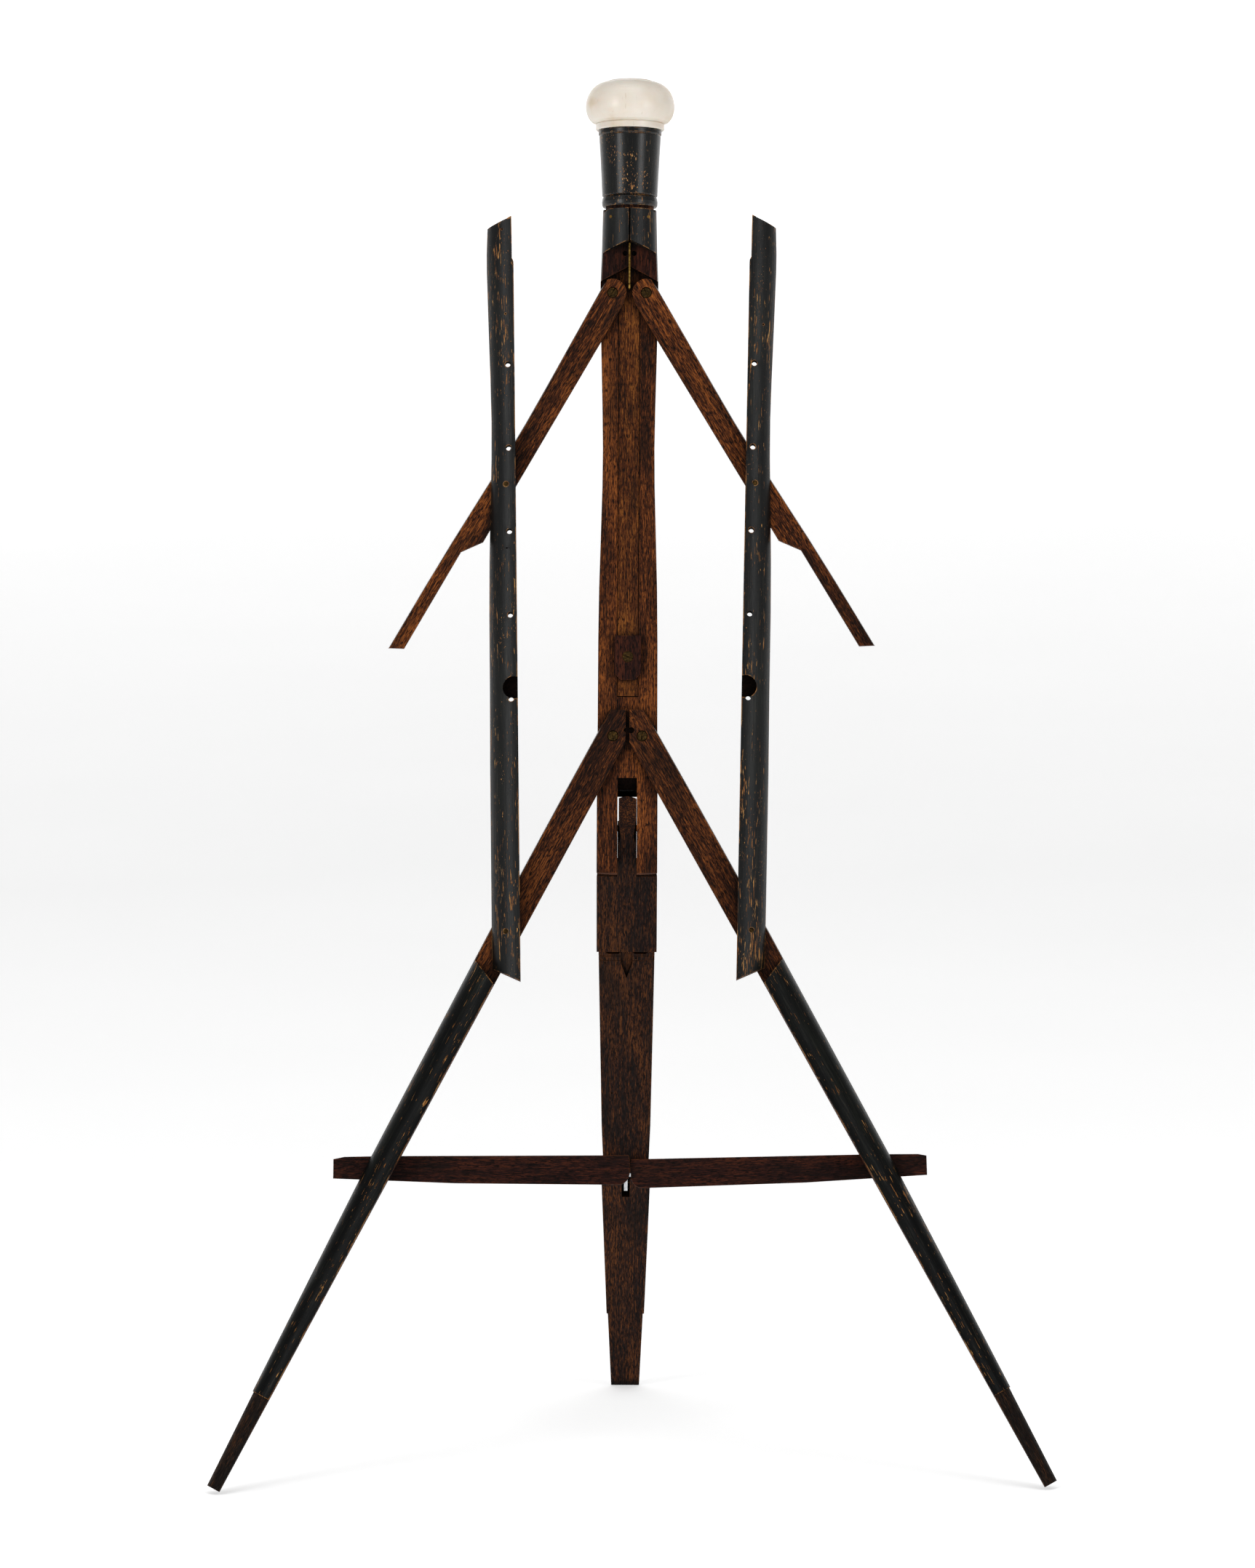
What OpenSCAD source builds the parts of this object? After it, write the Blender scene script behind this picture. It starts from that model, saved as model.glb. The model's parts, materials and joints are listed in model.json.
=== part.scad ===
// Folding artist's easel that closes into a walking stick.
// Every piece is drawn where it lies in the closed stick, which runs up Z with
// its tip at 0, then swung about its pivots to the open position and leaned back.
// X is right, Y is away from the front, Z is up.

/* [Choose a piece] */
// Which piece to draw

/* [Pose] */
// How far the left front leg is swung out, in degrees
leg_open_left = 28.1; // [0:0.1:30]
// How far the right front leg is swung out, in degrees
leg_open_right = 29.3; // [0:0.1:30]
// How far the open frame leans back, in degrees
lean = 12; // [0:0.5:20]
// How far the left crossbar drops towards the middle, in degrees
crossbar_drop_left = 0.3; // [0:0.1:3]
// How far the right crossbar drops towards the middle, in degrees
crossbar_drop_right = 2.2; // [0:0.1:3]

/* [Stick] */
// Widest radius of the stick, at the rear hinge
stick_r = 18.3; // [14:0.1:24]
// Radius of the stick at its tip
tip_r = 8.8; // [6:0.1:12]
// Height of the step where a ferrule once sat
ferrule_h = 62.5; // [30:0.5:90]
// Depth of that step
ferrule_step = 0.75; // [0.2:0.05:2]
// Radius at the narrow waist between the pegs
waist_r = 15.6; // [12:0.1:18]

/* [Knob and collar] */
// Largest diameter of the knob
knob_d = 53.8; // [30:0.1:70]
// Height of the knob's seat above the tip
knob_z = 881; // [800:1:1000]
// Height of the knob with its lower ring
knob_h = 30.2; // [20:0.1:50]
// Radius of the ring under the knob
knob_ring_r = 20.7; // [15:0.1:30]
// Radius of the raised disc on top of the knob
knob_disc_r = 14; // [5:0.5:20]
// Bottom of the collar
collar_z = 834; // [800:1:860]
// Top of the half-round column, where the neck starts
column_top = 832; // [800:1:860]
// Radius of the bare neck under the collar
neck_r = 14.5; // [8:0.1:16]
// Radius of the spigot inside the collar
spigot_r = 10; // [5:0.5:12]
// Radius of the stud that joins the knob
stud_r = 4; // [2:0.1:6]

/* [Layers] */
// Thickness of the flat layer of arms and leg heads
layer_t = 5; // [3:0.1:8]
// Gap between layers that slide on each other
slide_gap = 0.2; // [0.05:0.05:0.5]
// Gap on each side of the middle plane between left and right
half_gap = 0.35; // [0.1:0.05:1]
// Depth of the recess for the folded crossbars
crossbar_room = 6.2; // [4:0.1:8]

/* [Pivots, from the middle plane and the tip] */
// Arm pivot
arm_x = 10.2; // [8:0.1:12]
arm_z = 781.7; // [700:0.1:800]
// Leg pivot
leg_x = 8.8; // [7:0.1:12]
leg_z = 512.5; // [450:0.1:560]
// Pin from the bar to the arm
upper_pin_x = 6.2; // [4:0.1:12]
upper_pin_z = 647.8; // [600:0.1:700]
// Pin from the bar to the leg
lower_pin_x = 9; // [4:0.1:12]
lower_pin_z = 377.4; // [350:0.1:420]
// Crossbar pivot on the leg
cross_x = 9; // [7:0.1:12]
cross_z = 216.3; // [200:0.1:260]
// Rear leg's hinge
hinge_y = 12; // [8:0.1:14]
hinge_z = 458; // [430:0.5:480]

/* [Pins and screws] */
// Radius of the bar and crossbar pins
pin_r = 1.5; // [1:0.05:2.5]
// Running clearance round a pin
pin_gap = 0.05; // [0.01:0.01:0.1]
// Extra radius of the arm's hole, which is the open pivot
open_pivot_gap = 0.75; // [0.5:0.05:1.2]
// Radius of the rear hinge pin
hinge_r = 2; // [1.5:0.1:3]
// Radius of the screw shanks
shank_r = 1.6; // [1:0.05:2.5]
// Radius of the pivot screws' heads
screw_head_r = 2.9; // [1.5:0.1:4]
// Radius of the counterbores for those heads
counterbore_r = 3.4; // [2:0.1:5]

/* [Canvas bars] */
// Radius of the peg holes
peg_r = 1.65; // [1:0.05:4]
// Distance between peg holes
peg_pitch = 50.7; // [30:0.1:80]
// Height of the top peg hole in the closed stick
peg_top_z = 720.4; // [650:0.1:780]
// Distance of the peg holes from the middle plane
peg_x = 4.4; // [3:0.1:9]
// Number of peg holes in each bar
peg_count = 5; // [1:1:8]

/* [Crossbars] */
// Thickness of each crossbar
crossbar_t = 2.65; // [2:0.05:3]
// Length outside the pivot
crossbar_tail = 27.3; // [15:0.1:40]
// Height at the outer end
crossbar_tail_h = 11.6; // [8:0.1:16]
// Radius of the rounded inner corner
crossbar_corner_r = 7; // [2:0.5:8]

/* [Turn-button] */
// Width of the turn-button
button_w = 15.8; // [10:0.1:18]
// Length of the turn-button
button_l = 26.3; // [15:0.1:35]
// Thickness of the turn-button
button_t = 4; // [2:0.1:4.5]
// Height of its screw, closed
button_z = 560.5; // [540:0.5:580]

/* [Rear leg] */
// Half the width of the fork slot
slot_x = 5.85; // [4:0.05:8]
// Top of the fork slot
slot_top = 487.5; // [470:0.5:500]
// lower edge of the lip that closes the top of the fork at the back
lip_z = 477.3; // [474:0.1:480]
// inside radius of that lip
lip_r = 17.2; // [16.5:0.1:17.8]
// how deep the corners of the tongue's end are pared
paring_depth = 4.5; // [2:0.5:8]
// Bottom of the fork's tines
tine_z = 430; // [420:0.5:440]
// Bottom of the full block under the hinge
block_z = 367.9; // [350:0.5:400]
// Bottom of the crossbar recess
recess_z = 188.2; // [170:0.5:200]

/* [Hidden] */
$fn = 96;

ebony = [0.13, 0.14, 0.13];
walnut = [0.36, 0.21, 0.11];
dark_walnut = [0.22, 0.13, 0.08];
ivory = [0.91, 0.87, 0.8];
brass = [0.62, 0.46, 0.22];
steel = [0.78, 0.79, 0.8];

// Slopes of the mitred ends, rise over run
top_mitre = 0.44;
shoulder_mitre = 0.533;
foot_mitre = 0.46;
leg_mitre_z = 346;
// Radius of the arm's rounded head
arm_head_r = 8.4;

// The four-bar of leg, arm and canvas bar: the bar keeps its length, so the
// open arm angle is where the arm's pin is that far from the leg's pin.
bar_len = norm([upper_pin_x - lower_pin_x, upper_pin_z - lower_pin_z]);
function turn(v, a) = [v[0] * cos(a) - v[1] * sin(a), v[0] * sin(a) + v[1] * cos(a)];
function swung(p, pivot, a) = pivot + turn(p - pivot, a);
arm_pivot = [arm_x, arm_z];
leg_pivot = [leg_x, leg_z];
upper_pin = [upper_pin_x, upper_pin_z];
lower_pin = [lower_pin_x, lower_pin_z];
cross_pivot = [cross_x, cross_z];
// Each of these holds the left value, then the right
leg_open = [leg_open_left, leg_open_right];
drop = [crossbar_drop_left, crossbar_drop_right];
lower_pin_open = [for (a = leg_open) swung(lower_pin, leg_pivot, a)];
cross_open = [for (a = leg_open) swung(cross_pivot, leg_pivot, a)];
function pin_error(i, a) = norm(swung(upper_pin, arm_pivot, a) - lower_pin_open[i]) - bar_len;
function solve_arm(i, lo, hi, n = 40) = n == 0 ? (lo + hi) / 2
    : pin_error(i, (lo + hi) / 2) > 0 ? solve_arm(i, lo, (lo + hi) / 2, n - 1)
    : solve_arm(i, (lo + hi) / 2, hi, n - 1);
arm_open = [for (i = [0, 1]) leg_open[i] == 0 ? 0 : solve_arm(i, leg_open[i] * 0.9, leg_open[i] * 1.2)];
upper_pin_open = [for (a = arm_open) swung(upper_pin, arm_pivot, a)];
bar_angle_closed = atan2(upper_pin[0] - lower_pin[0], upper_pin[1] - lower_pin[1]);
bar_tilt = [for (i = [0, 1]) let (d = upper_pin_open[i] - lower_pin_open[i]) atan2(d[0], d[1]) - bar_angle_closed];
// The open crossbars are of one length, and their inner ends meet beside the middle plane
meet_x = (cross_open[1][0] - cross_open[0][0]) / 2;
crossbar_in = cross_open[0][0] + meet_x - 0.3;
function side(s) = s < 0 ? 0 : 1;

// The easel rolls a little in its own plane, so that both feet stand on the floor
foot_in = [for (a = leg_open) swung([half_gap, 0], leg_pivot, a)];
roll = atan2(foot_in[1][1] - foot_in[0][1], foot_in[1][0] + foot_in[0][0]);
foot_z = foot_in[0][1] + foot_in[0][0] * tan(roll);
// The rear leg opens until its foot is on the same floor
floor_reach = (hinge_z - foot_z) * cos(roll) * cos(lean) - hinge_y * sin(lean);
rear_open = lean + atan2(hinge_y - slide_gap, hinge_z) + acos(floor_reach / norm([hinge_y - slide_gap, hinge_z]));
// Middle of the open easel's width, which becomes X = 0
foot_out = [for (a = leg_open) swung([tip_r, 0], leg_pivot, a)];
mid_side = ((foot_out[1][0] - foot_out[0][0]) * cos(roll) + (foot_out[0][1] + foot_out[1][1] - 2 * foot_z) * sin(roll)) / 2;
// Middle of the open easel's depth, which becomes Y = 0
mid_depth = 168.5;

echo(roll = roll, foot_z = foot_z, meet_x = meet_x, crossbar_in = crossbar_in);

// ---- Placing ----

module stand() translate([-mid_side, -mid_depth, 0]) rotate([-lean, 0, 0]) rotate([0, roll, 0])
    translate([0, 0, -foot_z]) children();

module on_side(s) if (s < 0) mirror([1, 0, 0]) children(); else children();

module about(p, a) translate([p[0], 0, p[1]]) rotate([0, -a, 0]) translate([-p[0], 0, -p[1]]) children();

module with_arm(s) stand() on_side(s) about(arm_pivot, arm_open[side(s)]) children();

module with_leg(s) stand() on_side(s) about(leg_pivot, leg_open[side(s)]) children();

module with_bar(s) stand() on_side(s) translate([lower_pin_open[side(s)][0], 0, lower_pin_open[side(s)][1]])
    rotate([0, bar_tilt[side(s)], 0]) translate([-lower_pin[0], 0, -lower_pin[1]]) children();

module with_crossbar(s) stand() on_side(s) translate([cross_open[side(s)][0], 0, cross_open[side(s)][1]])
    rotate([0, -90 - drop[side(s)], 0]) translate([-cross_pivot[0], 0, -cross_pivot[1]]) children();

module with_rear() stand() translate([0, hinge_y, hinge_z]) rotate([rear_open, 0, 0])
    translate([0, -hinge_y, -hinge_z]) children();

// ---- Shared shapes ----

// A box between two corners
module block(a, b) translate(a) cube(b - a);

// A cylinder along Y from y0 to y1
module rod(x, z, r, y0, y1) translate([x, y0, z]) rotate([-90, 0, 0]) cylinder(r = r, h = y1 - y0);

// A plate cut from a drawing of X across and Z up, from y0 to y1
module plate(y0, y1) translate([0, y1, 0]) rotate([90, 0, 0]) linear_extrude(y1 - y0) children();

// The solid stick, a turned bar with a slight swell and waist
module stick() rotate_extrude() polygon([
    [0, 0], [tip_r, 0], [11, ferrule_h], [11 + ferrule_step, ferrule_h],
    [16.3, 218], [17.5, 310], [18.3, 372], [stick_r, 430], [stick_r, 474], [stick_r - 0.3, 522],
    [stick_r - 0.4, 570], [stick_r - 0.8, 602], [16.6, 635], [waist_r + 0.2, 664], [waist_r, 687], [waist_r + 0.4, 712],
    [16.8, 745], [17.5, 778], [17.5, 788], [16.8, 806], [16.2, column_top], [0, column_top]]);

// Outline regions of the right-hand half, as X and Z drawings
module above_line(x0, z0, slope, top) polygon([[x0, z0], [30, z0 + slope * (30 - x0)], [30, top], [x0, top]]);

// A slotted screw along Y, head at the front
module screw(x, z, head_r, front, head_t, back, slot_turn = 35) difference() {
    union() {
        rod(x, z, head_r, front, front + head_t);
        rod(x, z, shank_r, front + head_t, back);
    }
    translate([x, front, z]) rotate([0, slot_turn, 0]) block([-head_r - 1, -1, -0.45], [head_r + 1, 0.8, 0.45]);
}

// ---- Knob, collar and column ----

module knob() color(ivory) stand() {
    r = knob_d / 2;
    widest = 14.4;
    top = knob_h - 0.8;
    difference() {
        translate([0, 0, knob_z]) rotate_extrude() polygon(concat(
            [[0, 0], [knob_ring_r - 0.6, 0], [knob_ring_r, 0.6], [knob_ring_r, 3.4], [knob_ring_r - 0.7, 4]],
            [for (a = [-58:8:0]) [r - 8 + 8 * cos(a), widest + 10.9 * sin(a)]],
            [for (a = [4:8:84]) [knob_disc_r + (r - knob_disc_r) * cos(a), widest + (top - widest) * sin(a)]],
            [[knob_disc_r + 0.4, top], [knob_disc_r, knob_h - 0.3], [knob_disc_r - 0.6, knob_h], [0, knob_h]]));
        translate([0, 0, knob_z - 1]) cylinder(r = stud_r, h = 15);
    }
}

module knob_stud() color(brass) stand() translate([0, 0, knob_z - 13]) cylinder(r = stud_r - 0.02, h = 26.5);

module collar() color(ebony) stand() difference() {
    rotate_extrude() polygon([[0, collar_z], [16, collar_z], [16.7, 835], [16.9, 837], [16.6, 839.3], [15.9, 840.2],
        [16.75, 841], [17.3, 853], [18, 866], [18.65, 877], [18.5, 877.6], [19.1, 878.4], [19.1, 880.4], [18.6, knob_z], [0, knob_z]]);
    translate([0, 0, collar_z - 1]) cylinder(r = spigot_r, h = 35);
    translate([0, 0, collar_z + 30]) cylinder(r = stud_r, h = 30);
}

module column() color(walnut) stand() difference() {
    union() {
        intersection() {
            stick();
            block([-30, 0, tine_z], [30, 30, column_top]);
        }
        translate([0, 0, column_top]) cylinder(r = neck_r, h = collar_z - column_top);
        translate([0, 0, collar_z - 0.5]) cylinder(r = spigot_r - 0.02, h = 34);
    }
    // fork for the rear leg; at its top it stays closed behind and slopes down towards the back
    block([-slot_x, -1, tine_z - 1], [slot_x, 30, lip_z]);
    intersection() {
        cylinder(r = lip_r, h = 600);
        translate([-slot_x, 0, 0]) rotate([90, 0, 90]) linear_extrude(2 * slot_x)
            polygon([[-1, lip_z - 1], [30, lip_z - 1], [30, slot_top - 7], [6, slot_top - 7], [1, slot_top], [-1, slot_top]]);
    }
    // groove for the strip
    block([-6.5, -1, 536.5], [6.5, 2.4, 800]);
    // rear hinge
    translate([-30, hinge_y, hinge_z]) rotate([0, 90, 0]) cylinder(r = hinge_r + 0.02, h = 60);
    // screw holes
    for (s = [-1, 1]) {
        rod(s * arm_x, arm_z, shank_r + 0.02, -1, 10.5);
        rod(s * leg_x, leg_z, shank_r + 0.02, -1, 10.5);
    }
    rod(0, button_z, shank_r + 0.02, -1, 12.5);
}

module centre_strip() color(dark_walnut) stand() difference() {
    block([-6.05, 0, 537.1], [6.05, 2.3, 799.5]);
    rod(0, button_z, shank_r + 0.02, -1, 5);
}

module turn_button() color(dark_walnut) stand() difference() {
    h = button_w / 2;
    top = button_z + 12.3;
    low = top - button_l;
    plate(-slide_gap - button_t, -slide_gap) polygon([[-h, top], [-h + 0.8, top + 0.6], [h - 0.8, top + 0.6], [h, top],
        [h, low + 4], [h - 3.6, low], [-h + 3.6, low], [-h, low + 4]]);
    rod(0, button_z, shank_r + pin_gap, -10, 1);
    rod(0, button_z, 3.4, -10, -slide_gap - button_t + 1.4);
}

module turn_button_screw() color(brass) stand() screw(0, button_z, 3.15, -slide_gap - button_t - 0.1, 1.3, 12, 20);

module stub(s) color(ebony) stand() on_side(s) difference() {
    intersection() {
        stick();
        plate(-30, -layer_t) difference() {
            above_line(0.45, 812.4, -top_mitre, column_top);
            polygon([[30, column_top - 12], [30, column_top + 1], [11.5, column_top + 1]]);
        }
    }
    rod(11.4, 827, 0.72, -30, -layer_t + 1);
}

module stub_pin(s) color(brass) stand() on_side(s) rod(11.4, 827, 0.7, -12.1, -layer_t);

module shoulder_block(s) color(walnut) stand() on_side(s) difference() {
    intersection() {
        stick();
        plate(-layer_t, 0) above_line(0.55, 797.5, -shoulder_mitre, column_top);
    }
    // half-round notch beside the middle
    rod(2.6, 805.5, 1.6, -10, -layer_t + 2.5);
}

module brass_blade() color(brass) stand() difference() {
    block([-0.5, -9, 784], [0.5, 0, 811.5]);
    translate([-1, -9, 784]) rotate([0, 90, 0]) cylinder(r = 3, h = 2);
}

// ---- Arms ----

module arm(s) color(walnut) with_arm(s) difference() {
    intersection() {
        stick();
        plate(-layer_t + slide_gap, -slide_gap) polygon(concat(
            [[1.1, 611.4], [1.1, arm_z - 2]],
            [for (a = [180:-6:0]) [arm_x + arm_head_r * cos(a), arm_z + arm_head_r * sin(a)]],
            [[30, arm_z - 2], [30, arm_end(30)], [9.6, arm_end(9.6)], [9.6, 599.5]]));
    }
    rod(arm_x, arm_z, shank_r + pin_gap, -20, 1);
    rod(arm_x, arm_z, counterbore_r, -20, -layer_t + slide_gap + 2);
    rod(upper_pin_x, upper_pin_z, pin_r + open_pivot_gap, -20, 1);
}

// The arm's mitred end lies just above the leg's head when closed
function arm_end(x) = 531.6 - 0.5407 * (x - 9.6);

module arm_screw(s) color(brass) stand() on_side(s) screw(arm_x, arm_z, screw_head_r, -layer_t + slide_gap + 0.5, 1.3, 10, 60);

// ---- Canvas bars ----

// The bar's top follows the stub's mitre along its front, but runs level from
// side to side behind it, so that the bar slides out from under the stub
bar_top = 811;
bar_top_r = 16.8;

module bar_top_cut() translate([-1, 0, 0]) rotate([90, 0, 90]) linear_extrude(32) polygon(concat(
    [for (y = [-18:0.6:-4.8]) [y, bar_top - top_mitre * sqrt(max(0, pow(bar_top_r, 2) - y * y))]],
    [[-4, bar_top + 30], [-18, bar_top + 30]]));

// Small nail holes left in the bars, as X and Z
function nail_holes(s) = s < 0 ? [[7.2, 802.6], [5.5, 751], [6, 608.9]] : [[9.4, 744.2]];

module bar(s) color(ebony) with_bar(s) difference() {
    intersection() {
        stick();
        plate(-30, -layer_t - slide_gap / 2) difference() {
            above_line(0.45, leg_mitre_z + 1.4, foot_mitre, column_top);
            // relief beside the brass blade
            polygon([[0, 783], [0.45, 783], [1.45, 785], [1.45, 820], [0, 820]]);
        }
    }
    for (i = [0:peg_count - 1]) rod(peg_x, peg_top_z - i * peg_pitch, peg_r, -30, 1);
    for (p = nail_holes(s)) rod(p[0], p[1], 0.5, -30, -11.5);
    bar_top_cut();
    // gouged pocket above the last peg hole
    rod(2.6, 524.4, 6.8, -30, -10.5);
    rod(upper_pin_x, upper_pin_z, pin_r + 0.02, -30, 1);
    rod(lower_pin_x, lower_pin_z, pin_r + 0.02, -30, 1);
}

// Pins end flush with the bar's round front
module bar_pin_upper(s) color(brass) with_bar(s) rod(upper_pin_x, upper_pin_z, pin_r, -14.9, -slide_gap - 0.1);

module bar_pin_lower(s) color(brass) with_bar(s) rod(lower_pin_x, lower_pin_z, pin_r, -15.2, -slide_gap - 0.1);

// ---- Front legs ----

module leg(s) color(walnut) with_leg(s) difference() {
    intersection() {
        stick();
        union() {
            plate(-layer_t + slide_gap, -slide_gap)
                polygon([[half_gap, leg_mitre_z - 10], [30, leg_mitre_z - 10], [30, 535], [half_gap, 535]]);
            plate(-30, -slide_gap) difference() {
                polygon([[half_gap, -1], [30, -1], [30, 370], [half_gap, 370]]);
                above_line(0, leg_mitre_z - 0.2, foot_mitre, 400);
            }
        }
    }
    // the head is trimmed square to the column when open
    about(leg_pivot, -leg_open[side(s)]) {
        block([-30, -20, 480], [1.2, 1, 560]);
        block([-30, -20, 528.4], [60, 1, 570]);
        rod(s < 0 ? 1.2 : 2.2, 516, s < 0 ? 1.2 : 1.9, -20, 1);
    }
    rod(leg_x, leg_z, shank_r + pin_gap, -20, 1);
    rod(leg_x, leg_z, counterbore_r, -20, -layer_t + slide_gap + 2);
    rod(lower_pin_x, lower_pin_z, pin_r + pin_gap, -20, 1);
    rod(cross_x, cross_z, pin_r + 0.02, -11, 1);
}

module leg_screw(s) color(brass) stand() on_side(s) screw(leg_x, leg_z, screw_head_r, -layer_t + slide_gap + 0.5, 1.3, 10, 100);

// ---- Crossbars ----

// The left crossbar lies against the leg and the right one behind it, so they pass each other
function crossbar_y(s) = s < 0 ? 0.35 : 0.35 + crossbar_t + 0.2;

module crossbar(s) color(walnut) with_crossbar(s) difference() {
    top = cross_z + crossbar_in;
    low = cross_z - crossbar_tail;
    mid = 8.4;
    intersection() {
        stick();
        plate(crossbar_y(s), crossbar_y(s) + crossbar_t) difference() {
            union() {
                polygon([[0.45, top - crossbar_corner_r], [0.45, 262], [mid - crossbar_tail_h / 2, low], [mid + crossbar_tail_h / 2, low], [30, 262], [30, top - 3], [15, top], [0.45 + crossbar_corner_r, top]]);
                translate([0.45 + crossbar_corner_r, top - crossbar_corner_r]) circle(r = crossbar_corner_r);
            }
        }
    }
    rod(cross_x, cross_z, pin_r + pin_gap, -1, 20);
}

module crossbar_pin(s) color(brass) with_leg(s) rod(cross_x, cross_z, pin_r, -10, crossbar_y(s) + crossbar_t + 0.1);

module crossbar_washer(s) color(brass) with_leg(s) difference() {
    rod(cross_x, cross_z, 3.6, -slide_gap, crossbar_y(s) - 0.1);
    rod(cross_x, cross_z, pin_r + 0.02, -2, 20);
}

// ---- Rear leg ----

// Places something given in the open easel's column into the closed rear leg.
module when_open() translate([0, hinge_y, hinge_z]) rotate([-rear_open, 0, 0]) translate([0, -hinge_y, -hinge_z]) children();

module rear_leg() color(dark_walnut) with_rear() difference() {
    union() {
        intersection() {
            stick();
            block([-30, slide_gap, 0], [30, 30, tine_z - 0.8]);
        }
        intersection() {
            stick();
            union() {
                block([-slot_x + 0.1, slide_gap, tine_z - 3], [slot_x - 0.1, 30, hinge_z + 1]);
                block([-slot_x + 0.8, slide_gap, hinge_z], [slot_x - 0.1, 30, lip_z - 0.9]);
                intersection() {
                    block([-slot_x + 0.8, slide_gap, lip_z - 2], [slot_x - 0.1, 30, slot_top]);
                    cylinder(r = lip_r - 0.3, h = 600);
                }
            }
        }
    }
    // the tongue's end is cut to lie flush with the column's face when open
    when_open() block([-20, -60, 400], [20, 0.3, 560]);
    // room for the folded crossbars
    block([-30, -1, recess_z], [30, crossbar_room, block_z]);
    // that face's corners are pared away, a few millimetres deep
    for (s = [-1, 1]) mirror([s < 0 ? 1 : 0, 0, 0]) intersection() {
        translate([3.9, 0.2, 462.8]) rotate(a = 85.9, v = [0.282, 0.957, 0]) translate([-40, -40, 0]) cube([80, 80, 20]);
        when_open() block([0, -1, 425], [8, paring_depth, 485]);
    }
    // two pockets and a scoop below the block, two scribed lines and nail holes
    for (s = [-1, 1]) mirror([s < 0 ? 1 : 0, 0, 0]) plate(crossbar_room - 1, crossbar_room + 4)
        polygon([[3.6, block_z + 0.1], [13, block_z + 0.1], [13, block_z - 5.6], [11.6, block_z - 7], [5, block_z - 7], [3.6, block_z - 5.6]]);
    translate([0, crossbar_room - 1, 0]) plate(0, 3.2) polygon([[-3.8, block_z], [3.8, block_z], [3.6, block_z - 14], [0, block_z - 27], [-3.6, block_z - 14]]);
    for (z = [8.8, 12.5]) block([-30, crossbar_room - 1, block_z - z - 0.2], [30, crossbar_room + 0.25, block_z - z + 0.2]);
    for (p = [[-13.2, 14.4], [5.6, 10.5], [-8.8, 122.6]]) rod(p[0], block_z - p[1], 0.55, 0, crossbar_room + 2);
    // mortise for the catch
    block([-2.5, -1, 163], [2.5, 9, recess_z + 1]);
    block([-4, -1, 178.5], [4, 2, 184]);
    translate([-3.6, 5.5, 171]) rotate([0, 90, 0]) cylinder(r = 0.82, h = 7.2);
    translate([-30, hinge_y, hinge_z]) rotate([0, 90, 0]) cylinder(r = hinge_r + pin_gap, h = 60);
}

module rear_hinge_pin() color(brass) stand() translate([-13.2, hinge_y, hinge_z]) rotate([0, 90, 0]) cylinder(r = hinge_r, h = 26.4);

module catch() color(steel) with_rear() difference() {
    union() {
        block([-1.1, 0.5, 168], [1.1, 7, 183]);
        block([-3.2, 0.5, 180], [3.2, 1.6, 182.8]);
    }
    block([-2, 2.6, 173.8], [2, 8, 178.6]);
    translate([-3, 5.5, 171]) rotate([0, 90, 0]) cylinder(r = 0.85, h = 6);
}

module catch_pin() color(brass) with_rear() translate([-3.5, 5.5, 171]) rotate([0, 90, 0]) cylinder(r = 0.8, h = 7);

// ---- Draw ----

knob();
knob_stud();
collar();
column();
centre_strip();
turn_button();
turn_button_screw();
stub(-1);  // stub_left
stub(1);  // stub_right
stub_pin(-1);  // stub_pin_left
stub_pin(1);  // stub_pin_right
shoulder_block(-1);  // shoulder_block_left
shoulder_block(1);  // shoulder_block_right
brass_blade();
arm(-1);  // arm_left
arm(1);  // arm_right
arm_screw(-1);  // arm_screw_left
arm_screw(1);  // arm_screw_right
bar(-1);  // bar_left
bar(1);  // bar_right
bar_pin_upper(-1);  // bar_pin_upper_left
bar_pin_upper(1);  // bar_pin_upper_right
bar_pin_lower(-1);  // bar_pin_lower_left
bar_pin_lower(1);  // bar_pin_lower_right
leg(-1);  // leg_left
leg(1);  // leg_right
leg_screw(-1);  // leg_screw_left
leg_screw(1);  // leg_screw_right
crossbar(-1);  // crossbar_left
crossbar(1);  // crossbar_right
crossbar_pin(-1);  // crossbar_pin_left
crossbar_pin(1);  // crossbar_pin_right
crossbar_washer(-1);  // crossbar_washer_left
crossbar_washer(1);  // crossbar_washer_right
rear_leg();
rear_hinge_pin();
catch();
catch_pin();
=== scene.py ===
"""Look of the folding easel walking stick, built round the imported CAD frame."""
import json
import math

import bpy
from mathutils import Matrix, Vector

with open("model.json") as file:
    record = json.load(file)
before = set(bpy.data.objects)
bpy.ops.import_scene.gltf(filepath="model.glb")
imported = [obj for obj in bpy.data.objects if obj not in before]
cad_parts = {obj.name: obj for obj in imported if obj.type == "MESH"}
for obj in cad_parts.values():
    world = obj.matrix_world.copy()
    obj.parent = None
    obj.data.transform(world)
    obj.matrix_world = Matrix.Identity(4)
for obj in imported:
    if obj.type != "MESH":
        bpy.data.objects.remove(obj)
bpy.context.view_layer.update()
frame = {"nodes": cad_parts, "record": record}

# ---------------------------------------------------------------- places
# The same numbers as the CAD source, in millimetres and degrees. Every piece
# is described where it lies in the closed stick: X across, Y back, Z up from
# the tip.

# how the open column stands
LEAN, ROLL = 12.0, 0.578667
MID_SIDE, MID_DEPTH, FOOT_Z = 4.748683, 168.5, 58.881599

# pivots in the closed stick, as (X, Z) on the right
LEG_PIVOT, ARM_PIVOT = (8.8, 512.5), (10.2, 781.7)
LOWER_PIN, CROSS_PIVOT = (9.0, 377.4), (9.0, 216.3)
HINGE_Y, HINGE_Z = 12.0, 458.0

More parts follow.
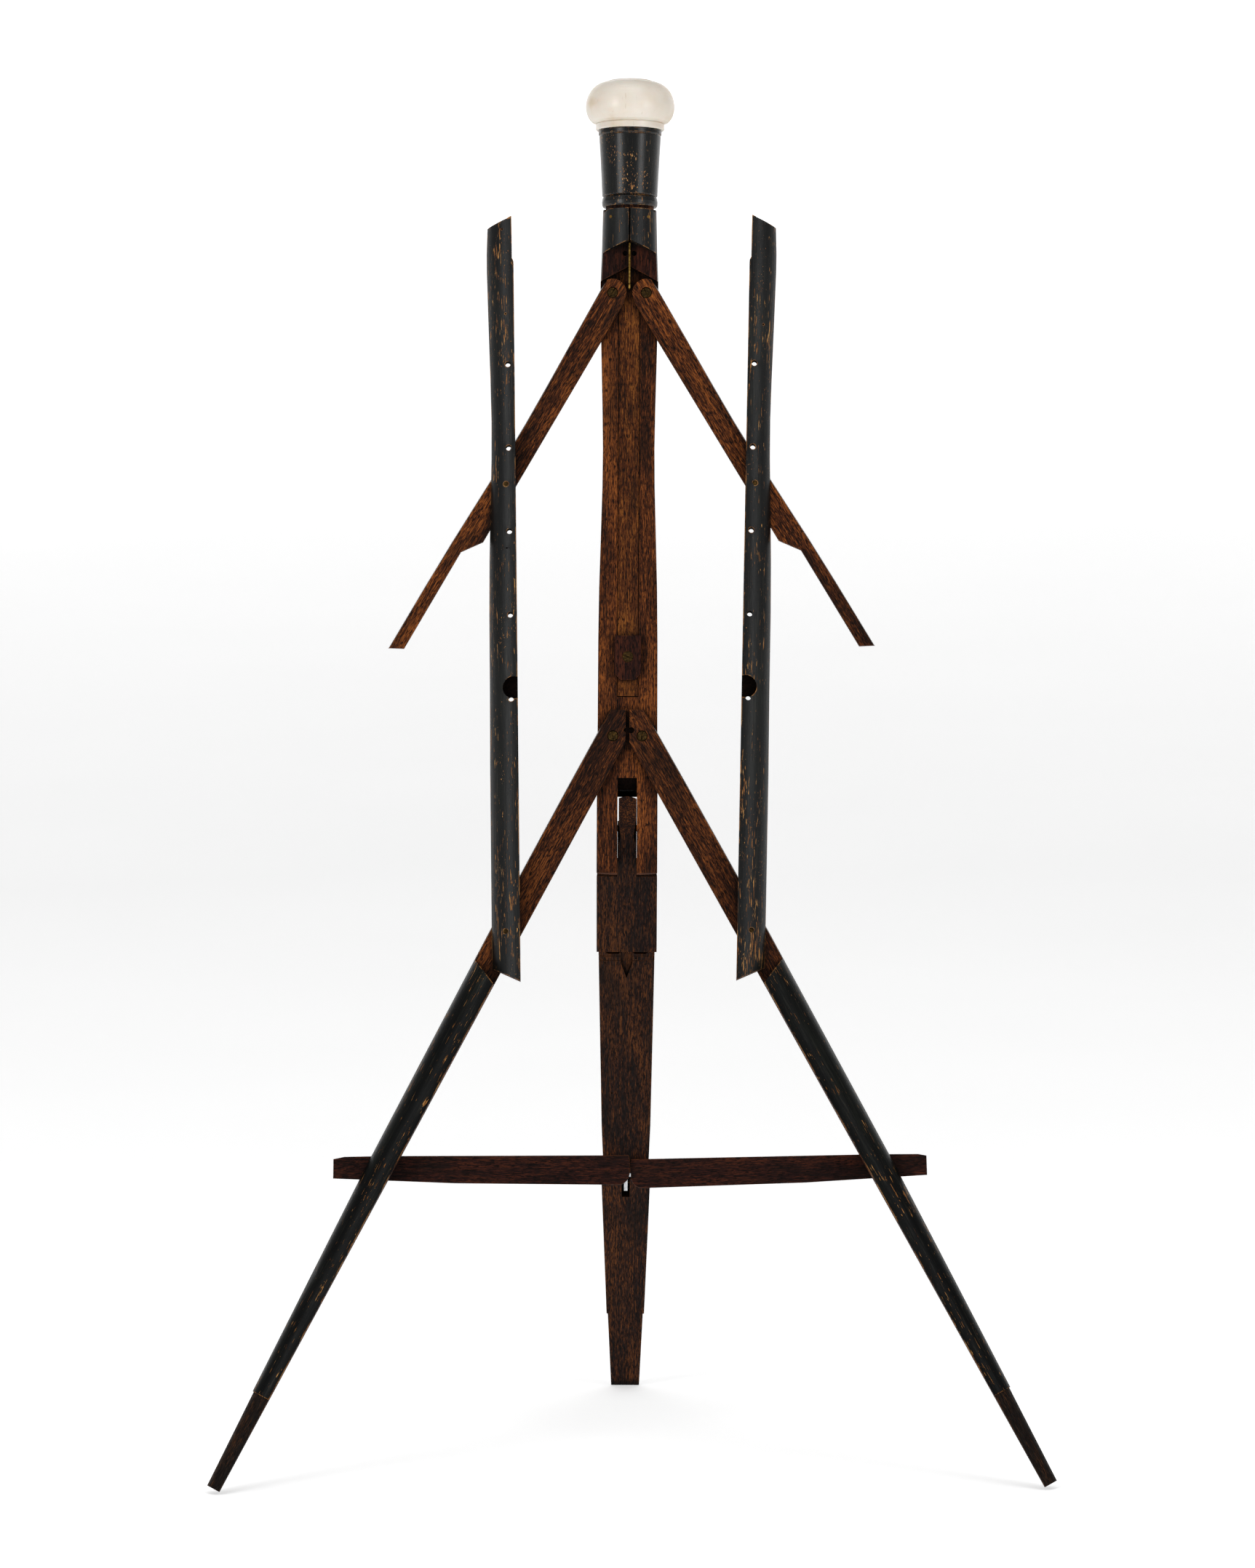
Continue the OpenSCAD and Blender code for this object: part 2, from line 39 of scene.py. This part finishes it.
# how far each piece is open, left, then right
LEG_OPEN, ARM_OPEN = (28.1, 29.3), (30.082283, 31.2854)
BAR_TILT, DROP = (0.857094, 0.853068), (0.3, 2.2)
REAR_OPEN = 45.629642

# where the leg's two lower pins are when it is open, left, then right
LOWER_PIN_OPEN = ((72.61013, 393.418863), (75.089983, 394.781318))
CROSS_OPEN = ((148.490145, 251.308225), (153.929496, 254.290958))

# the closed stick's radius, as (Z, radius)
OUTLINE = [(0, 8.8), (62.5, 11), (218, 16.3), (310, 17.5), (372, 18.3), (430, 18.3), (474, 18.3),
           (522, 18.0), (570, 17.9), (602, 17.5), (635, 16.6), (664, 15.8), (687, 15.6), (712, 16.0),
           (745, 16.8), (778, 17.5), (788, 17.5), (806, 16.8), (832, 16.2)]


def move(x, y, z):
    return Matrix.Translation((x, y, z))


def turn(axis, degrees):
    return Matrix.Rotation(math.radians(degrees), 4, axis)


STAND = move(-MID_SIDE, -MID_DEPTH, 0) @ turn("X", -LEAN) @ turn("Y", ROLL) @ move(0, 0, -FOOT_Z)


def side_place(kind, side):
    """Closed stick to open easel for a piece of that kind on that side (-1 left, 1 right)."""
    i = 0 if side < 0 else 1
    if kind == "leg":
        p, q, a = LEG_PIVOT, LEG_PIVOT, -LEG_OPEN[i]
    elif kind == "arm":
        p, q, a = ARM_PIVOT, ARM_PIVOT, -ARM_OPEN[i]
    elif kind == "bar":
        p, q, a = LOWER_PIN_OPEN[i], LOWER_PIN, BAR_TILT[i]
    else:
        p, q, a = CROSS_OPEN[i], CROSS_PIVOT, -90 - DROP[i]
    return STAND @ move(side * p[0], 0, p[1]) @ turn("Y", side * a) @ move(-side * q[0], 0, -q[1])


REAR = STAND @ move(0, HINGE_Y, HINGE_Z) @ turn("X", REAR_OPEN) @ move(0, -HINGE_Y, -HINGE_Z)


def place_of(body):
    """Closed stick (mm) to the row frame (mm) for a body at rest."""
    if body in ("rear_leg", "catch"):
        return REAR
    kind, _, side = body.partition("_")
    if side in ("left", "right") and kind in ("leg", "arm", "bar", "crossbar"):
        return side_place(kind, -1 if side == "left" else 1)
    return STAND


MM = Matrix.Scale(0.001, 4)


def to_row(body):
    """Closed stick in mm to the row frame in metres."""
    return MM @ place_of(body)


def radius_at(z):
    """The closed stick's radius at a height."""
    for (z0, r0), (z1, r1) in zip(OUTLINE, OUTLINE[1:]):
        if z0 <= z <= z1:
            return r0 + (r1 - r0) * (z - z0) / (z1 - z0)
    return OUTLINE[-1][1]


# ---------------------------------------------------------------- camera
CAMERA_PLACE = (-0.0003, -6.5078, 1.2609)
CAMERA_DOWN, CAMERA_ROLL = 7.492, -0.329
CAMERA_LENS = 308.38

cam = bpy.data.cameras.new("camera")
cam.sensor_fit, cam.sensor_width, cam.lens = "HORIZONTAL", 36.0, CAMERA_LENS
cam.clip_end = 100
camera = bpy.data.objects.new("camera", cam)
bpy.context.collection.objects.link(camera)
camera.matrix_world = move(*CAMERA_PLACE) @ turn("X", 90 - CAMERA_DOWN) @ turn("Z", CAMERA_ROLL)
bpy.context.scene.camera = camera


# ---------------------------------------------------------------- node helpers
class Mat:
    """A small builder for one procedural material."""

    def __init__(self, name):
        self.m = bpy.data.materials.new(name)
        self.m.use_nodes = True
        self.t = self.m.node_tree
        self.bsdf = next(n for n in self.t.nodes if n.type == "BSDF_PRINCIPLED")
        self.coord = self.t.nodes.new("ShaderNodeTexCoord").outputs["Object"]

    def node(self, kind, **values):
        n = self.t.nodes.new(kind)
        for k, v in values.items():
            setattr(n, k, v)
        return n

    def link(self, a, b):
        self.t.links.new(a, b)
        return b

    def local(self, body):
        """Coordinates in the closed stick, in millimetres."""
        m = to_row(body).inverted()
        n = self.node("ShaderNodeMapping", vector_type="POINT")
        n.inputs["Location"].default_value = m.translation
        n.inputs["Rotation"].default_value = m.to_3x3().normalized().to_euler("XYZ")
        n.inputs["Scale"].default_value = (1000, 1000, 1000)
        self.link(self.coord, n.inputs["Vector"])
        return n.outputs["Vector"]

    def stretch(self, vec, scale, offset=(0, 0, 0)):
        n = self.node("ShaderNodeMapping", vector_type="POINT")
        n.inputs["Scale"].default_value = scale
        n.inputs["Location"].default_value = offset
        self.link(vec, n.inputs["Vector"])
        return n.outputs["Vector"]

    def noise(self, vec, scale, detail=4.0, rough=0.55, distort=0.0):
        n = self.node("ShaderNodeTexNoise", noise_dimensions="3D")
        n.inputs["Scale"].default_value = scale
        n.inputs["Detail"].default_value = detail
        n.inputs["Roughness"].default_value = rough
        n.inputs["Distortion"].default_value = distort
        self.link(vec, n.inputs["Vector"])
        return n.outputs["Fac"]

    def ramp(self, fac, stops):
        n = self.node("ShaderNodeValToRGB")
        r = n.color_ramp
        r.interpolation = "LINEAR"
        while len(r.elements) < len(stops):
            r.elements.new(0.5)
        for e, (pos, col) in zip(r.elements, stops):
            e.position = pos
            e.color = (*col, 1) if isinstance(col, tuple) else (col, col, col, 1)
        self.link(fac, n.inputs["Fac"])
        return n.outputs["Color"]

    def mix(self, fac, a, b):
        n = self.node("ShaderNodeMix", data_type="RGBA", blend_type="MIX")
        for key, v in ((0, fac), (6, a), (7, b)):
            if isinstance(v, (tuple, float, int)):
                n.inputs[key].default_value = (*v, 1) if isinstance(v, tuple) else v
            else:
                self.link(v, n.inputs[key])
        return n.outputs[2]

    def math(self, op, a, b=0.0, clamp=False):
        n = self.node("ShaderNodeMath", operation=op, use_clamp=clamp)
        for key, v in ((0, a), (1, b)):
            if isinstance(v, (float, int)):
                n.inputs[key].default_value = v
            else:
                self.link(v, n.inputs[key])
        return n.outputs[0]

    def edge(self, radius, low, high):
        """1 on sharp edges, 0 on open faces."""
        b = self.node("ShaderNodeBevel", samples=6)
        b.inputs["Radius"].default_value = radius
        g = self.node("ShaderNodeNewGeometry")
        d = self.node("ShaderNodeVectorMath", operation="DOT_PRODUCT")
        self.link(b.outputs[0], d.inputs[0])
        self.link(g.outputs["Normal"], d.inputs[1])
        n = self.node("ShaderNodeMapRange")
        for key, v in (("From Min", low), ("From Max", high), ("To Min", 1.0), ("To Max", 0.0)):
            n.inputs[key].default_value = v
        self.link(d.outputs["Value"], n.inputs["Value"])
        return n.outputs["Result"]

    def crevice_shade(self, distance, low, high):
        """Mask for painted shade: 1 deep in a gap or an inside corner, 0 in the open."""
        n = self.node("ShaderNodeAmbientOcclusion", samples=6)
        n.inputs["Distance"].default_value = distance
        return self.ramp(n.outputs["AO"], [(low, 1.0), (high, 0.0)])

    def bump(self, height, strength, distance):
        n = self.node("ShaderNodeBump")
        n.inputs["Strength"].default_value = strength
        n.inputs["Distance"].default_value = distance
        self.link(height, n.inputs["Height"])
        return n.outputs["Normal"]

    def set(self, **values):
        names = dict(color="Base Color", rough="Roughness", metal="Metallic", spec="Specular IOR Level",
                     coat="Coat Weight", coat_rough="Coat Roughness", normal="Normal",
                     sss="Subsurface Weight", sss_scale="Subsurface Scale")
        for k, v in values.items():
            s = self.bsdf.inputs[names[k]]
            if isinstance(v, (tuple, float, int)):
                s.default_value = (*v, 1) if isinstance(v, tuple) and len(v) == 3 else v
            else:
                self.link(v, s)
        return self.m


def srgb(code):
    """A hex colour in linear light."""
    return tuple((c / 12.92 if c <= 0.04045 else ((c + 0.055) / 1.055) ** 2.4)
                 for c in (int(code[i:i + 2], 16) / 255 for i in (0, 2, 4)))


# ---------------------------------------------------------------- materials
def ebonised(name, body, seed, wear, specks, gloss, sheen):
    """Black stained wood, worn to tan along the grain and on the edges.

    wear sets how much the streaks gather, specks the small round spots, gloss how
    polished the stain is, and sheen scales its highlights.
    """
    k = Mat(name)
    v = k.local(body)
    off = (seed * 37.0, seed * 17.0, seed * 91.0)
    broad = k.noise(k.stretch(v, (0.06, 0.06, 0.012), off), 1.0, 3, 0.5)
    base = k.ramp(broad, [(0.32, srgb("050606")), (0.52, srgb("0a0b0b")), (0.72, srgb("141613"))])
    fine = k.noise(k.stretch(v, (1.0, 1.0, 0.045), off), 1.0, 5, 0.65)
    base = k.mix(k.ramp(fine, [(0.46, 0.0), (0.62, 0.7)]), base, srgb("040505"))
    base = k.mix(k.ramp(fine, [(0.34, 0.5), (0.43, 0.0)]), base, srgb("2b2a23"))
    # short tan streaks where the stain has worn off, gathered in patches
    streak = k.noise(k.stretch(v, (1.35, 1.35, 0.12), off), 1.0, 4, 0.6, 0.4)
    patch = k.noise(k.stretch(v, (0.10, 0.10, 0.018), (off[1], off[2], off[0])), 1.0, 3, 0.6)
    lift = k.ramp(patch, [(0.42, 0.0), (0.70, 0.03 + 0.12 * wear)])
    worn = k.ramp(k.math("ADD", streak, lift), [(0.675, 0.0), (0.71, 1.0)])
    nick = k.noise(k.stretch(v, (1.1, 1.1, 0.6), off), 1.0, 3, 0.65)
    where = k.noise(k.stretch(v, (0.09, 0.09, 0.05), (off[2], off[1], off[0])), 1.0, 2, 0.5)
    spot = k.ramp(where, [(0.48, 0.0), (0.64, 0.13 * specks)])
    worn = k.math("MAXIMUM", worn, k.ramp(k.math("ADD", nick, spot), [(0.725, 0.0), (0.75, 1.0)]))
    breaks = k.noise(k.stretch(v, (0.3, 0.3, 0.06), off), 1.0, 5, 0.65)
    edge = k.math("MULTIPLY", k.edge(0.0010, 0.84, 0.99), k.ramp(breaks, [(0.47, 0.0), (0.53, 1.0)]))
    worn = k.math("MAXIMUM", worn, edge, True)
    tan = k.ramp(k.noise(k.stretch(v, (0.5, 0.5, 0.08), off), 1.0, 4, 0.7),
                 [(0.34, srgb("5a3216")), (0.48, srgb("9c652f")), (0.66, srgb("c6975a"))])
    col = k.mix(k.math("MULTIPLY", worn, 0.9), base, tan)
    # painted shade: near-black deep in gaps and inside corners
    col = k.mix(k.math("MULTIPLY", k.crevice_shade(0.003, 0.35, 0.62), 0.85), col, srgb("040303"))
    dull = 0.30 - 0.12 * gloss
    uneven = k.math("ADD", k.math("MULTIPLY", worn, 0.3), k.math("MULTIPLY", fine, 0.35))
    rough = k.ramp(uneven, [(0.0, dull), (0.6, dull + 0.28)])
    h = k.math("SUBTRACT", k.math("MULTIPLY", fine, 0.8), k.math("MULTIPLY", worn, 0.9))
    return k.set(color=col, rough=rough, spec=(0.25 + 0.1 * gloss) * sheen,
                 normal=k.bump(h, 0.5 - 0.3 * gloss, 0.0003))


# the deep, middle and light colour of each wood
TONES = {
    "mid": ("190b05", "48230f", "8a4d20"),
    "strip": ("1f0e06", "4d260f", "854f1f"),
    "brown": ("140905", "371a0b", "74401b"),
    "block": ("0c0605", "281208", "5a3214"),
    "dark": ("120605", "260f0a", "452011"),
    "tip": ("0d0a08", "1c130d", "4a2c15"),
}


def walnut(name, body, seed, tone):
    """Oiled brown wood with short dark pores; the grain runs up the stick."""
    k = Mat(name)
    v = k.local(body)
    off = (seed * 23.0, seed * 61.0, seed * 43.0)
    deep, mid, light = (srgb(c) for c in TONES[tone])
    lean = k.noise(k.stretch(v, (0.05, 0.05, 0.01), off), 1.0, 3, 0.55)
    band = k.noise(k.stretch(v, (0.40, 0.40, 0.012), off), 1.0, 4, 0.62, 0.6)
    grain = k.noise(k.stretch(v, (1.2, 1.2, 0.07), (off[2], off[0], off[1])), 1.0, 5, 0.7, 0.4)
    fleck = k.noise(k.stretch(v, (1.7, 1.7, 0.26), (off[0], off[2], off[1])), 1.0, 3, 0.6)
    f = k.math("ADD", k.math("MULTIPLY", band, 0.20), k.math("MULTIPLY", grain, 0.40))
    f = k.math("ADD", f, k.math("MULTIPLY", fleck, 0.40))
    f = k.math("ADD", f, k.math("MULTIPLY", k.math("SUBTRACT", lean, 0.5), 0.25))
    col = k.ramp(f, [(0.425, deep), (0.50, mid), (0.60, light)])
    pores = k.noise(k.stretch(v, (1.5, 1.5, 0.28), off), 1.0, 2, 0.6)
    col = k.mix(k.ramp(pores, [(0.55, 0.0), (0.60, 0.9)]), col, srgb("090403"))
    grime = k.noise(k.stretch(v, (0.07, 0.07, 0.022), (off[1], off[2], off[0])), 1.0, 4, 0.6)
    col = k.mix(k.ramp(grime, [(0.36, 0.6), (0.50, 0.0)]), col, srgb("0d0705"))
    edge = k.edge(0.0007, 0.84, 0.99)
    wearing = k.ramp(k.noise(k.stretch(v, (0.3, 0.3, 0.08), off), 1.0, 4, 0.6), [(0.45, 0.0), (0.60, 0.5)])
    col = k.mix(k.math("MULTIPLY", edge, wearing), col, srgb("6f4019"))
    # painted shade: near-black deep in gaps and inside corners
    col = k.mix(k.math("MULTIPLY", k.crevice_shade(0.006, 0.35, 0.80), 0.94), col, srgb("030202"))
    rough = k.ramp(pores, [(0.4, 0.55), (0.62, 0.8)])
    h = k.math("ADD", k.math("MULTIPLY", pores, -1.0), k.math("MULTIPLY", grain, 0.6))
    return k.set(color=col, rough=rough, spec=0.09, normal=k.bump(h, 0.5, 0.00025))


def slot_shade():
    """Painted shade for the dark inside of a slot or a hole, near-black and finely mottled."""
    k = Mat("slot_painted_shade")
    t = k.noise(k.coord, 900, 4, 0.6)
    return k.set(color=k.ramp(t, [(0.35, srgb("040303")), (0.65, srgb("120a07"))]), rough=0.9, spec=0.03,
                 normal=k.bump(t, 0.3, 0.0002))


def ivory():
    """Polished ivory, warmer in places, with a few fine lines."""
    k = Mat("ivory")
    v = k.local("column")
    warm = k.noise(v, 0.06, 3, 0.5)
    col = k.ramp(warm, [(0.3, srgb("e3dbcf")), (0.55, srgb("ddd2c3")), (0.8, srgb("cebb9e"))])
    lines = k.noise(k.stretch(v, (0.5, 0.5, 0.035)), 1.0, 5, 0.6, 1.2)
    col = k.mix(k.ramp(lines, [(0.64, 0.0), (0.70, 0.28)]), col, srgb("b39a78"))
    return k.set(color=col, rough=k.ramp(warm, [(0.2, 0.3), (0.8, 0.42)]), sss=0.15,
                 sss_scale=0.004, coat=0.1, coat_rough=0.12, normal=k.bump(lines, 0.08, 0.0002))


def brass(name, codes, rough):
    """Old brass, mottled between three colours."""
    k = Mat(name)
    t = k.noise(k.coord, 700, 4, 0.6)
    col = k.ramp(t, [(p, srgb(c)) for p, c in zip((0.32, 0.5, 0.7), codes)])
    return k.set(color=col, rough=k.ramp(t, [(0.3, rough + 0.12), (0.7, rough - 0.1)]), metal=0.9, spec=0.3,
                 normal=k.bump(t, 0.3, 0.0001))


def steel():
    """Bright filed steel."""
    k = Mat("bright_steel")
    t = k.noise(k.stretch(k.coord, (3000, 400, 400)), 1.0, 3, 0.5)
    col = k.ramp(t, [(0.3, srgb("a9abae")), (0.7, srgb("e0e2e4"))])
    return k.set(color=col, rough=k.ramp(t, [(0.3, 0.34), (0.7, 0.2)]), metal=1.0,
                 normal=k.bump(t, 0.1, 0.00005))


BRASS = brass("aged_brass", ("1d1509", "3b2c16", "6a5027"), 0.5)
BLADE = brass("rubbed_brass", ("3a2a10", "8a6a2e", "c9a45a"), 0.4)
# the third material is painted shade for the insides of slots and holes
STEEL, IVORY, SLOT_SHADE = steel(), ivory(), slot_shade()

# ---------------------------------------------------------------- CAD nodes
body_of = {n: b for b, ns in frame["record"]["behaviour"]["bodies"].items() for n in ns}

# limits of the face tests below, in closed mm: heights along the stick unless said otherwise
SKIN = 1.6              # how far inside the round outline a face still counts as outside
FACING_OUT = 0.9        # least outward part of such a face's normal
FORK_BOTTOM, FORK_TOP = 430.5, 489
FORK_HALF = 5.9         # half the fork's width, in X
FORK_FRONT = 0.05       # the fork lies behind this Y
HOLES_BOTTOM, HOLES_TOP = 400, 800
HOLE_DEPTH = 0.15       # least distance of a hole's wall from the round outline
HOLE_BACK = -0.6        # the holes lie in front of this Y
BACK_FACING = 0.5       # from this normal Y on, a face is the bar's flat back
TIP_TOP = 62.4


def is_outside(centre, normal):
    """Whether a face is part of the stick's round outside, in closed mm."""
    r = math.hypot(centre.x, centre.y)
    if r < 1 or centre.z < 1:
        return False
    out = (normal.x * centre.x + normal.y * centre.y) / r
    return out > FACING_OUT and r > radius_at(centre.z) - SKIN


def in_fork(centre, normal):
    """Whether a face lines the column's fork, in closed mm."""
    return FORK_BOTTOM < centre.z < FORK_TOP and abs(centre.x) < FORK_HALF and centre.y > FORK_FRONT


def in_hole(centre, normal):
    """Whether a face lines one of the canvas bar's holes or pockets, in closed mm."""
    r = math.hypot(centre.x, centre.y)
    inside = r < radius_at(centre.z) - HOLE_DEPTH and centre.y < HOLE_BACK
    return HOLES_BOTTOM < centre.z < HOLES_TOP and inside and normal.y < BACK_FACING


def at_tip(centre, normal):
    """Whether a face is on the bare tip that once took a ferrule, in closed mm."""
    return centre.z < TIP_TOP


def paint(name, inner, *others):
    """Gives a CAD node its materials: each other is (material, test of a face), the rest is inner."""
    o = frame["nodes"][name]
    o.data.materials.clear()
    o.data.materials.append(inner)
    for material, _ in others:
        o.data.materials.append(material)
    m = to_row(body_of[name]).inverted()
    r = m.to_3x3().normalized()
    for p in o.data.polygons:
        centre, normal = m @ p.center, r @ p.normal
        p.material_index = next((i for i, (_, test) in enumerate(others, 1) if test(centre, normal)), 0)


WOOD_TONE = {
    "arm_left": "mid", "arm_right": "mid", "bar_left": "brown", "bar_right": "brown", "leg_left": "brown",
    "leg_right": "brown", "column": "mid", "centre_strip": "strip", "rear_leg": "block",
    "crossbar_left": "dark", "crossbar_right": "dark", "shoulder_block_left": "dark",
    "shoulder_block_right": "dark", "turn_button": "dark",
}

# how the black stain is worn: wear, specks, gloss, sheen
STAIN = {
    "collar": (0.0, 0.9, 1.0, 1.0), "stub_left": (0.3, 0.5, 0.0, 1.0), "stub_right": (0.3, 0.5, 0.0, 1.0),
    "bar_left": (0.9, 0.6, 0.0, 0.9), "bar_right": (0.9, 0.6, 0.0, 0.9), "leg_left": (0.5, 0.2, 0.0, 0.3),
    "leg_right": (0.5, 0.2, 0.0, 0.3),
}
PLAIN_STAIN = (0.3, 0.2, 0.0, 1.0)


def dress(name, seed):
    """Gives one CAD node its look; seed shifts its grain away from the others'."""
    body = body_of[name]
    if name in WOOD_TONE:
        wood = walnut(f"walnut_{name}", body, seed, WOOD_TONE[name])
        inside = []
        if name.startswith("bar_"):
            # painted shade on the faces inside the holes and pockets
            inside = [(SLOT_SHADE, in_hole)]
        elif name.startswith("leg_"):
            inside = [(walnut(f"tip_{name}", body, seed, "tip"), at_tip)]
        elif name == "column":
            # painted shade on the faces inside the fork
            inside = [(SLOT_SHADE, in_fork)]
        stain = ebonised(f"ebonised_{name}", body, seed, *STAIN.get(name, PLAIN_STAIN))
        paint(name, wood, *inside, (stain, is_outside))
    elif name in STAIN:
        paint(name, ebonised(f"ebonised_{name}", body, seed, *STAIN[name]))
    elif name == "knob":
        paint(name, IVORY)
    elif name == "catch":
        paint(name, STEEL)
    elif name == "brass_blade" or name.startswith("stub_pin"):
        paint(name, BLADE)
    else:
        paint(name, BRASS)


for seed, name in enumerate(frame["nodes"], 1):
    dress(name, seed)

# ---------------------------------------------------------------- studio
SWEEP_HALF = 30.0       # half the width of the sweep, in metres
SWEEP_DROP = 0.0002     # how far it lies below the feet
SWEEP_PROFILE = [(-30.0, 0.0), (27.0, 0.0), (28.5, 0.2), (29.4, 0.8), (29.9, 1.8), (30.0, 3.0), (30.0, 16.0)]


def studio():
    """A white sweep: floor and far wall in one."""
    k = Mat("studio_white")
    n = k.noise(k.coord, 3.0, 2, 0.5)
    k.set(color=k.ramp(n, [(0.3, (0.93, 0.93, 0.93)), (0.7, (0.95, 0.95, 0.95))]), rough=0.9, spec=0.1)
    k.bsdf.inputs["Emission Color"].default_value = (1, 1, 1, 1)
    # far from the lamps the sweep glows a little more, so that it stays evenly white
    away = k.node("ShaderNodeVectorMath", operation="LENGTH")
    k.link(k.coord, away.inputs[0])
    glow = k.node("ShaderNodeMapRange")
    for key, v in (("From Min", 2.5), ("From Max", 9.0), ("To Min", 0.42), ("To Max", 0.80)):
        glow.inputs[key].default_value = v
    k.link(away.outputs["Value"], glow.inputs["Value"])
    k.link(glow.outputs["Result"], k.bsdf.inputs["Emission Strength"])
    verts = [(x, y, z - SWEEP_DROP) for y, z in SWEEP_PROFILE for x in (-SWEEP_HALF, SWEEP_HALF)]
    faces = [(2 * i, 2 * i + 1, 2 * i + 3, 2 * i + 2) for i in range(len(SWEEP_PROFILE) - 1)]
    mesh = bpy.data.meshes.new("studio_sweep")
    mesh.from_pydata(verts, [], faces)
    o = bpy.data.objects.new("studio_sweep", mesh)
    bpy.context.collection.objects.link(o)
    for p in o.data.polygons:
        p.use_smooth = True
    o.data.materials.append(k.m)


def lamp(name, place, aim_height, width, height, power):
    """A soft rectangular lamp, turned towards a point above the origin."""
    light = bpy.data.lights.new(name, "AREA")
    light.shape, light.size, light.size_y, light.energy = "RECTANGLE", width, height, power
    o = bpy.data.objects.new(name, light)
    bpy.context.collection.objects.link(o)
    o.location = place
    o.rotation_euler = (Vector((0, 0, aim_height)) - Vector(place)).to_track_quat("-Z", "Y").to_euler()


studio()
lamp("left", (-2.3, -2.7, 1.5), 0.45, 0.9, 2.0, 34)
lamp("right", (2.4, -2.4, 1.4), 0.45, 0.9, 2.0, 24)
lamp("top", (0, -0.6, 3.2), 0.3, 2.0, 1.6, 22)

world = bpy.data.worlds.new("world")
bpy.context.scene.world = world
world.use_nodes = True
world.node_tree.nodes["Background"].inputs["Color"].default_value = (1, 1, 1, 1)
world.node_tree.nodes["Background"].inputs["Strength"].default_value = 0.34
bpy.context.scene.view_settings.view_transform = "Standard"
